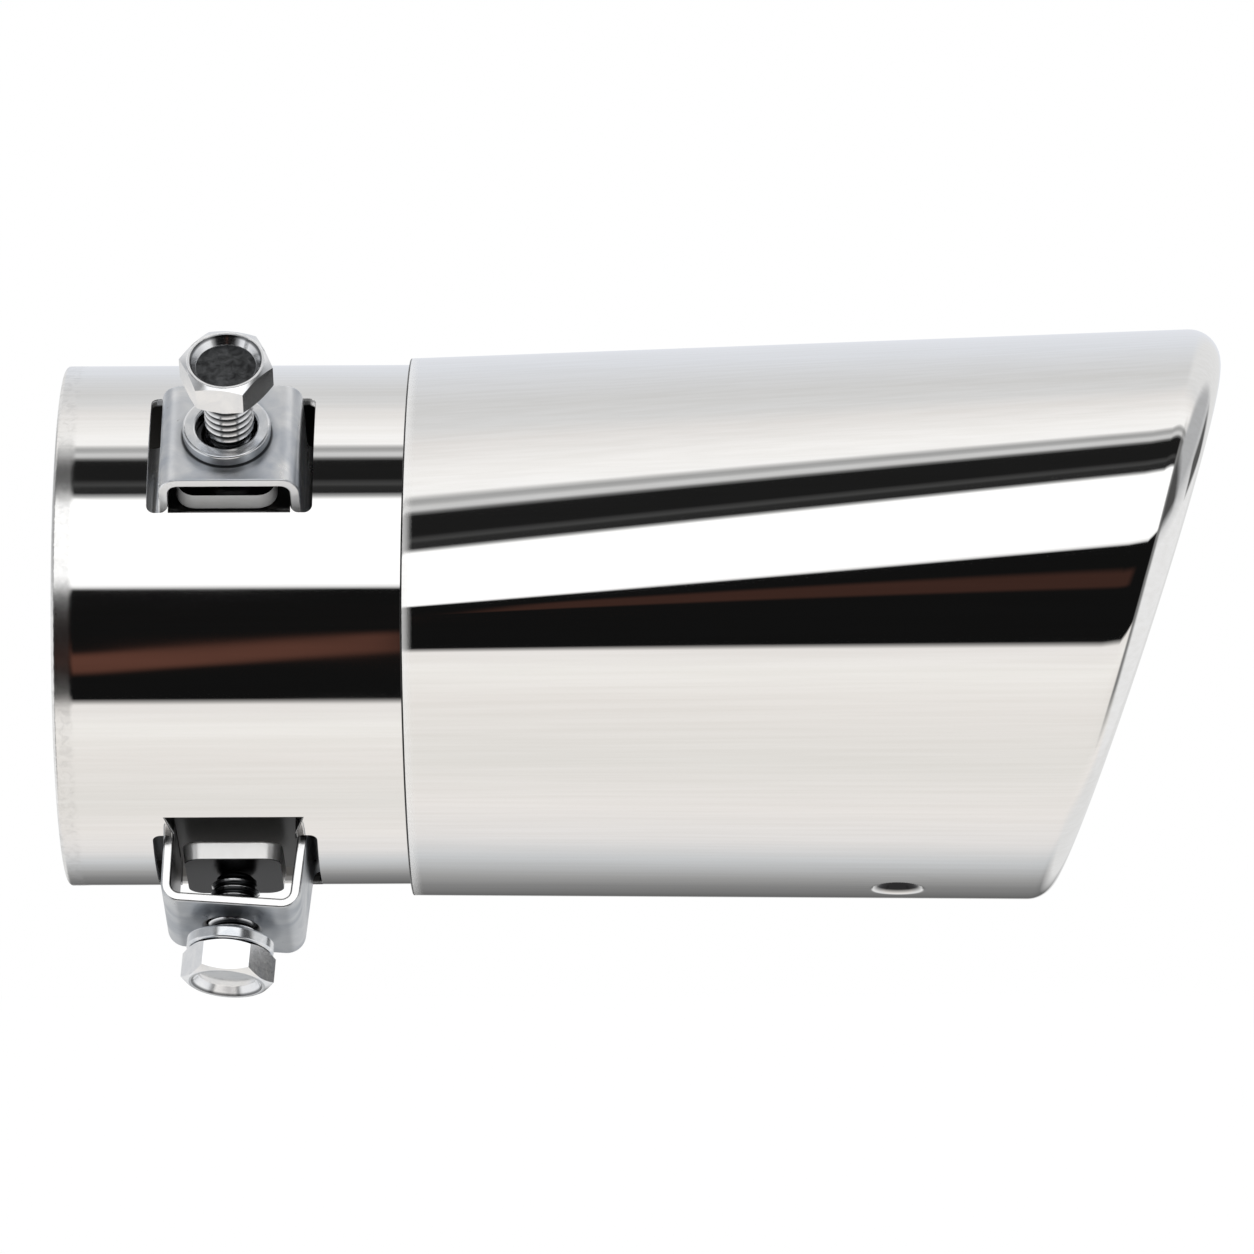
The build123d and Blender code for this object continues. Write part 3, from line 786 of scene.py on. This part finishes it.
def turn_dish(bm, point, axis, end):
    """Turn the dish afresh from the crown's inner edge, with rounded corners."""
    def level_and_flat(spot):
        level = (spot - point).dot(axis)
        return level, spot - point - axis * level

    spots = [level_and_flat(vert.co) for vert in bm.verts]
    rim_r = min(flat.length for level, flat in spots if level > end - MERGE * MM)
    old = []
    for face in bm.faces:
        level, flat = level_and_flat(face.calc_center_median())
        inside_rim = flat.length < rim_r - MERGE * MM and level > end - 1.5 * DISH_DEPTH * MM
        if inside_rim and face.normal.dot(axis) > 0.05:
            old.append(face)
    bmesh.ops.delete(bm, geom=old, context="FACES")
    rim = [edge for edge in bm.edges if edge.is_boundary]
    floor = bmesh.ops.edgeloop_fill(bm, edges=rim)["faces"][0]
    ways = [level_and_flat(vert.co)[1].normalized() for vert in floor.verts]
    for radius, depth in dish_profile(rim_r / MM):
        centre = point + axis * (end - depth * MM)
        floor = carried_face(bm, floor, [centre + way * radius * MM for way in ways])


def screw_head(node, point, axis, under):
    """The solid's own head, merged and cut off at its underside, with its dish turned afresh."""
    bm = merged_copy(node)
    everything = bm.verts[:] + bm.edges[:] + bm.faces[:]
    cut = point + axis * (under + 0.00001)
    bmesh.ops.bisect_plane(bm, geom=everything, dist=1e-7, plane_co=cut, plane_no=axis, clear_inner=True)
    bmesh.ops.edgeloop_fill(bm, edges=[edge for edge in bm.edges if edge.is_boundary])
    turn_dish(bm, point, axis, under + HEAD_HEIGHT * MM)
    make_whole(bm)
    return bm


def clamp_screw(name, node_name, joint_name, body, finish, thread, floor):
    """A screw with the solid's head and a rolled thread, each in its own finish."""
    point, axis, sideways, tangent = clamp_axes(joint_name)
    node = nodes[node_name]
    levels = [(vert.co - point).dot(axis) for vert in node.data.vertices]
    tip, end = min(levels), max(levels)
    under = end - HEAD_HEIGHT * MM
    bm = screw_head(node, point, axis, under)
    for face in bm.faces:
        depth = end - (face.calc_center_median() - point).dot(axis)
        face.material_index = 1 if face.normal.dot(axis) > 0.9 and depth > (DISH_DEPTH - 0.1) * MM else 0
    shank = bmesh.new()
    rolled_thread(shank, (under - tip) / MM)
    for face in shank.faces:
        face.material_index = 2
    place = Matrix((sideways, tangent, axis)).transposed().to_4x4()
    place.translation = point + axis * tip
    bmesh.ops.transform(shank, matrix=place @ Matrix.Scale(MM, 4), verts=shank.verts)
    mesh = bpy.data.meshes.new("shank")
    shank.to_mesh(mesh)
    shank.free()
    bm.from_mesh(mesh)
    bpy.data.meshes.remove(mesh)
    flat_faced(finished(name, bm, (finish, floor, thread), body, node_name), CLAMP_CREASE)


def clamp_plate(name, node_name, body, finish):
    """A bracket with the burr taken off its sheared edges."""
    bm = merged_copy(nodes[node_name])
    make_whole(bm)
    soften(bm, ROUNDED_ANGLE, PLATE_ROUNDING)
    flat_faced(finished(name, bm, (finish,), body, node_name), CLAMP_CREASE)


# Studio: a room of long softboxes and dark gaps, seen only in the metal
def grey(value):
    return (value, value, value)


# Tones of the room round the tube's axis, in degrees from level ahead
ROOM_BANDS = (
    (-180, grey(0.80)),
    (-173, grey(0.72)),
    (-169, grey(0.12)),
    (-150, grey(0.24)),
    (-142, grey(0.36)),
    (-129, (0.62, 0.635, 0.65)),
    (-118, (0.82, 0.80, 0.79)),
    (-104, (0.87, 0.84, 0.815)),
    (-85, (0.82, 0.80, 0.77)),
    (-60, (0.86, 0.83, 0.80)),
    (-46, (0.92, 0.90, 0.87)),
    (-34.5, (0.86, 0.83, 0.81)),
    (-33.2, grey(0.006)),
    (16.0, grey(0.006)),
    (17.2, grey(1.2)),
    (58.0, grey(1.2)),
    (59.6, grey(0.018)),
    (64.0, grey(0.028)),
    (65.3, grey(0.085)),
    (66.6, grey(0.012)),
    (78.4, grey(0.012)),
    (79.6, grey(0.55)),
    (81.0, grey(0.72)),
    (83.0, grey(0.42)),
    (85.0, grey(0.36)),
    (87.0, (1.0, 0.99, 0.98)),
    (95, (0.97, 0.955, 0.94)),
    (108, (0.83, 0.81, 0.795)),
    (116, grey(0.72)),
    (126, grey(0.675)),
    (150, (0.75, 0.77, 0.81)),
    (180, (0.79, 0.81, 0.86)),
)

# Brown shelves between the softboxes: sideways reach, height in degrees at its two ends, fade-in, strength
BROWN_SHELVES = (
    ((-0.072, -0.033), (-17.0, -6.7), (-0.0338, -0.0352), 1.0),
    ((-0.033, 0.050), (5.0, -1.2), (-0.0310, -0.0240), 0.40),
)

# Grey cards in the room, by how far sideways, ahead or up a reflection looks
FLAG_SIDE, FLAG_AHEAD, FLAG_TONE = (0.42, 0.52), (-0.1, 0.3), 0.22
FILL_SIDE, FILL_BEHIND, FILL_TONE = (0.12, 0.25), (-0.2, -0.5), 0.78
END_SIDE, END_RISE = (0.55, 0.68), (0.0, 0.35)
END_LOW, END_HIGH = (0.86, 0.86, 0.865), (0.46, 0.465, 0.475)

# Dark screens at the right: sideways, ahead or behind, heights, tone
SCREENS = (
    ((0.60, 0.70), (-0.3, -0.4), ((0.0, 0.05), (0.25, 0.18)), 0.10),
    ((0.5, 0.6), (0.2, 0.4), ((0.15, 0.3),), 0.08),
)

# Camera: lens and shift as Blender gives them, then its place along its own right, up and back in metres
CAMERA_LENS, CAMERA_SHIFT, CAMERA_ROLL = 249.47, -0.0582, math.radians(0.26)
CAMERA_RIGHT, CAMERA_UP, CAMERA_BACK = 0.07655, -0.00012, 1.05525

FLOOR_HALF, FLOOR_PLACE = 6.0, (0.07, 0.0, -0.30)


def studio_world():
    """White for the camera and for soft light, bands and cards for reflections."""
    world = bpy.data.worlds.new("studio")
    world.use_nodes = True
    tree = world.node_tree
    tree.nodes.clear()
    where = new_node(tree, "ShaderNodeTexCoord")
    split = new_node(tree, "ShaderNodeSeparateXYZ")
    feed(tree, split.inputs[0], where.outputs["Generated"])
    across, height = split.outputs["X"], split.outputs["Z"]
    forward = math_node(tree, "MULTIPLY", split.outputs["Y"], -1.0)
    angle = math_node(tree, "ARCTAN2", height, forward)
    share = map_range(tree, angle, -math.pi, math.pi)
    bands = ramp(tree, share, [((turn + 180) / 360, colour) for turn, colour in ROOM_BANDS])
    sideways = math_node(tree, "ABSOLUTE", across)
    for (left, right), (left_turn, right_turn), (fade, full), strength in BROWN_SHELVES:
        shelf = map_range(tree, across, left, right, math.radians(left_turn), math.radians(right_turn))
        from_shelf = math_node(tree, "ABSOLUTE", math_node(tree, "SUBTRACT", angle, shelf))
        brown = map_range(tree, from_shelf, math.radians(2.5), math.radians(6.0), strength, 0.0, smooth=True)
        faded = map_range(tree, across, fade, full)
        brown = overlap(tree, brown, faded, map_range(tree, sideways, 0.08, 0.10, 1.0, 0.0))
        bands = mix_colour(tree, brown, bands, (0.105, 0.044, 0.031))
    flag = map_range(tree, sideways, *FLAG_SIDE, smooth=True)
    flag = overlap(tree, flag, map_range(tree, forward, *FLAG_AHEAD))
    room = mix_colour(tree, flag, bands, grey(FLAG_TONE))
    fill = overlap(tree, map_range(tree, sideways, *FILL_SIDE), map_range(tree, forward, *FILL_BEHIND))
    room = mix_colour(tree, fill, room, grey(FILL_TONE))
    end_tone = mix_colour(tree, map_range(tree, height, *END_RISE), END_LOW, END_HIGH)
    room = mix_colour(tree, map_range(tree, sideways, *END_SIDE, smooth=True), room, end_tone)
    for right, ahead, heights, tone in SCREENS:
        masks = [map_range(tree, across, *right), map_range(tree, forward, *ahead)]
        masks += [map_range(tree, height, *span) for span in heights]
        room = mix_colour(tree, overlap(tree, *masks), room, grey(tone))
    path = new_node(tree, "ShaderNodeLightPath")
    plain = math_node(tree, "MAXIMUM", path.outputs["Is Camera Ray"], path.outputs["Is Diffuse Ray"])
    colour = mix_colour(tree, plain, room, grey(1.0))
    light = new_node(tree, "ShaderNodeBackground")
    feed(tree, light.inputs["Color"], colour)
    out = new_node(tree, "ShaderNodeOutputWorld")
    feed(tree, out.inputs["Surface"], light.outputs[0])
    bpy.context.scene.world = world


def studio_floor():
    """Pale floor that glows enough to look white and still takes the shadow."""
    material = bpy.data.materials.new("pale_floor")
    material.use_nodes = True
    tree = material.node_tree
    tree.nodes.clear()
    matte = new_node(tree, "ShaderNodeBsdfDiffuse")
    matte.inputs["Color"].default_value = (0.92, 0.92, 0.92, 1.0)
    glow = new_node(tree, "ShaderNodeEmission")
    glow.inputs["Strength"].default_value = 1.03
    path = new_node(tree, "ShaderNodeLightPath")
    seen = math_node(tree, "MAXIMUM", path.outputs["Is Camera Ray"], path.outputs["Is Glossy Ray"])
    seen = math_node(tree, "MAXIMUM", seen, path.outputs["Is Transmission Ray"])
    share = math_node(tree, "MULTIPLY", seen, 0.8)
    blend = new_node(tree, "ShaderNodeMixShader")
    feed(tree, blend.inputs[0], share)
    feed(tree, blend.inputs[1], matte.outputs[0])
    feed(tree, blend.inputs[2], glow.outputs[0])
    out = new_node(tree, "ShaderNodeOutputMaterial")
    feed(tree, out.inputs["Surface"], blend.outputs[0])
    bm = bmesh.new()
    bmesh.ops.create_grid(bm, x_segments=1, y_segments=1, size=FLOOR_HALF)
    bmesh.ops.translate(bm, verts=bm.verts, vec=FLOOR_PLACE)
    mesh = bpy.data.meshes.new("floor")
    bm.to_mesh(mesh)
    bm.free()
    mesh.materials.append(material)
    floor = bpy.data.objects.new("floor", mesh)
    bpy.context.scene.collection.objects.link(floor)
    floor.visible_glossy = False


def studio_camera():
    lens = bpy.data.cameras.new("camera")
    lens.sensor_width = 36.0
    lens.lens = CAMERA_LENS
    lens.shift_x = CAMERA_SHIFT
    lens.clip_start = 0.05
    lens.clip_end = 50.0
    right = Vector((math.cos(CAMERA_ROLL), 0.0, -math.sin(CAMERA_ROLL)))
    up = Vector((math.sin(CAMERA_ROLL), 0.0, math.cos(CAMERA_ROLL)))
    back = Vector((0.0, -1.0, 0.0))
    camera = bpy.data.objects.new("camera", lens)
    place = Matrix((right, up, back)).transposed().to_4x4()
    place.translation = CAMERA_RIGHT * right + CAMERA_UP * up + CAMERA_BACK * back
    camera.matrix_world = place
    bpy.context.scene.collection.objects.link(camera)
    bpy.context.scene.camera = camera


def dress(node_name, material):
    """Give a solid its finish and leave its shape alone."""
    mesh = nodes[node_name].data
    mesh.materials.clear()
    mesh.materials.append(material)


studio_world()
studio_floor()
studio_camera()
bpy.context.scene.view_settings.view_transform = "Standard"

UPPER_ZINC = ((0.62, 0.66, 0.72), (0.92, 0.93, 0.94))
# The lower bracket's zinc is a darker copy of the upper's, as painted shade.
LOWER_ZINC_SHADED = ((0.40, 0.43, 0.47), (0.64, 0.655, 0.67))
SCREW_ZINC = ((0.86, 0.875, 0.90), (0.97, 0.975, 0.98), 0.15)
upper_screw_zinc = bright_zinc("upper_screw_zinc", *SCREW_ZINC, "upper_screw_turn")
lower_screw_zinc = bright_zinc("lower_screw_zinc", *SCREW_ZINC, "lower_screw_turn")
washer_zinc = bright_zinc("washer_zinc", (0.66, 0.69, 0.73), (0.88, 0.89, 0.90), 0.15)
# Painted shade: only the upper screw's dish floor is dark.
dish_floor_shade = shaded_dish_floor()
dress("neck_tube", neck_steel())
# Each washer's shift and drop, and the darkness of the painted contact shadow under it.
upper_seat = (UPPER_WASHER_SHIFT, UPPER_WASHER_DROP, 0.9)
lower_seat = (0.0, 0.0, 0.0)
upper_zinc = zinc_plate("upper_zinc_plate", "upper_screw_turn", UPPER_PLATE, UPPER_ZINC, 0.35, upper_seat)
lower_zinc = zinc_plate("lower_zinc_plate", "lower_screw_turn", LOWER_PLATE, LOWER_ZINC_SHADED, 1.0, lower_seat)
clamp_plate("upper_plate", "upper_bracket", "upper_clamp", upper_zinc)
clamp_plate("lower_plate", "lower_bracket", "tip", lower_zinc)
dress("upper_washer", washer_zinc)
dress("lower_washer", washer_zinc)
dress("upper_pad", pad_steel("upper_pad_steel", UPPER_ANGLE, UPPER_PAD, 0.15))
dress("lower_pad", pad_steel("lower_pad_steel", LOWER_ANGLE, LOWER_PAD, 0.85))
# Painted shade on the sleeve's inside, and a near-black painted shadow on its cut edges.
shaded_sleeve_inside = shaded_steel("shaded_sleeve_inside", (0.20, 0.195, 0.19), (0.30, 0.295, 0.285))
sleeve_edge_shadow = shaded_steel("sleeve_edge_shadow", (0.02, 0.02, 0.02), (0.05, 0.05, 0.05))
sleeve_skin(sleeve_steel(), shaded_sleeve_inside, sleeve_edge_shadow)
clamp_screw(
    "upper_screw_threaded",
    "upper_bolt",
    "upper_screw_turn",
    "upper_screw",
    upper_screw_zinc,
    thread_zinc("upper_thread_zinc", "upper_screw_turn"),
    dish_floor_shade,
)
clamp_screw(
    "lower_screw_threaded",
    "lower_bolt",
    "lower_screw_turn",
    "lower_screw",
    lower_screw_zinc,
    thread_zinc("lower_thread_zinc", "lower_screw_turn"),
    lower_screw_zinc,
)
